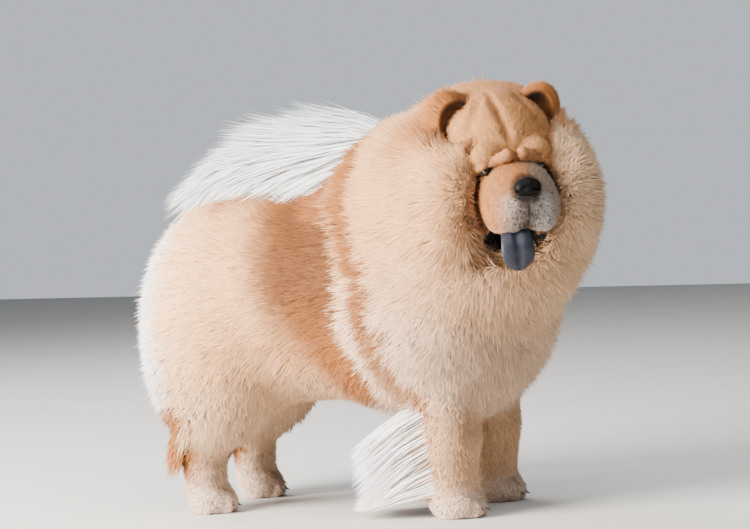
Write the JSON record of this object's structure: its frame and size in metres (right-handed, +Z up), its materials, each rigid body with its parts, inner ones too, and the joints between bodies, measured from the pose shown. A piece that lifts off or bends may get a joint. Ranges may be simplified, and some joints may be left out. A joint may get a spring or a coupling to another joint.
{
  "type": "standing chow chow dog model",
  "caption": "Life-size standing chow chow dog with ruff, plumed tail laid over the back, breeches, short muzzle and hanging blue-black tongue.",
  "frame": {"origin": "on the floor, under the middle of the model's box", "axes": "-Y the way the body faces, +X its left side, +Z up"},
  "size_m": [0.3995, 0.7606, 0.651],
  "materials": {
    "coat": "long dense fur, apricot to cream, matt",
    "plume": "long white fur, matt",
    "ear": "short dense rust-brown fur",
    "eye": "dark brown, wet gloss",
    "nose": "black pebbled skin, slightly moist",
    "tongue": "blue-black, moist"
  },
  "bodies": {
    "root": {"head": "coat", "neck": "coat", "torso": "coat", "tail": "plume", "leg_front_left": "coat", "leg_front_right": "coat", "leg_hind_left": "coat", "leg_hind_right": "coat", "ear_left": "ear", "ear_right": "ear", "eye_left": "eye", "eye_right": "eye", "nose": "nose", "tongue": "tongue"}
  },
  "joints": []
}
